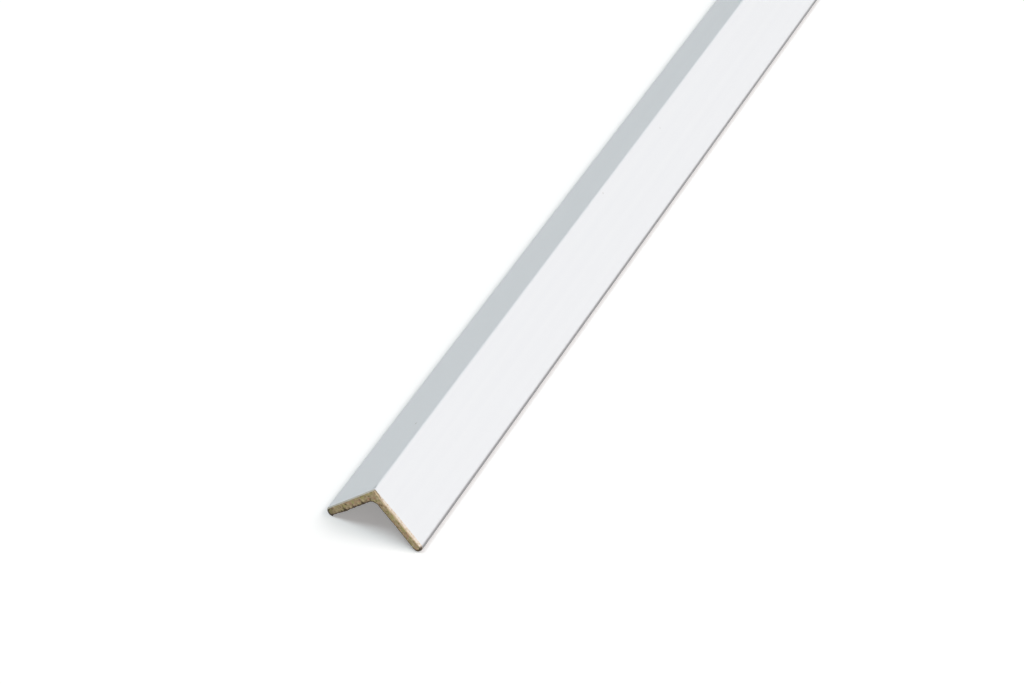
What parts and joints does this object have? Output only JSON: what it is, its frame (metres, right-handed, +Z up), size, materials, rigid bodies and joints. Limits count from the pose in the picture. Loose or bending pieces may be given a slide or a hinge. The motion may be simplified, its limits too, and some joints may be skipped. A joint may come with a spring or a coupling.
{
  "type": "corner guard moulding",
  "caption": "Long L-shaped corner guard moulding of fibreboard wrapped in white foil, glued over an outside wall corner to cover and protect it.",
  "frame": {"origin": "on the floor, below the middle of the ridge", "axes": "+Y along the moulding's length, +Z up through the ridge, +X across it towards one leg's tip"},
  "size_m": [0.0386, 2.4384, 0.022],
  "materials": {
    "fibreboard": "raw fibreboard, sawn brown and fibrous at the ends",
    "white_foil": "smooth satin white decor foil"
  },
  "bodies": {
    "root": {"fibreboard_core": "fibreboard", "foil_wrap": "white_foil"}
  },
  "joints": []
}
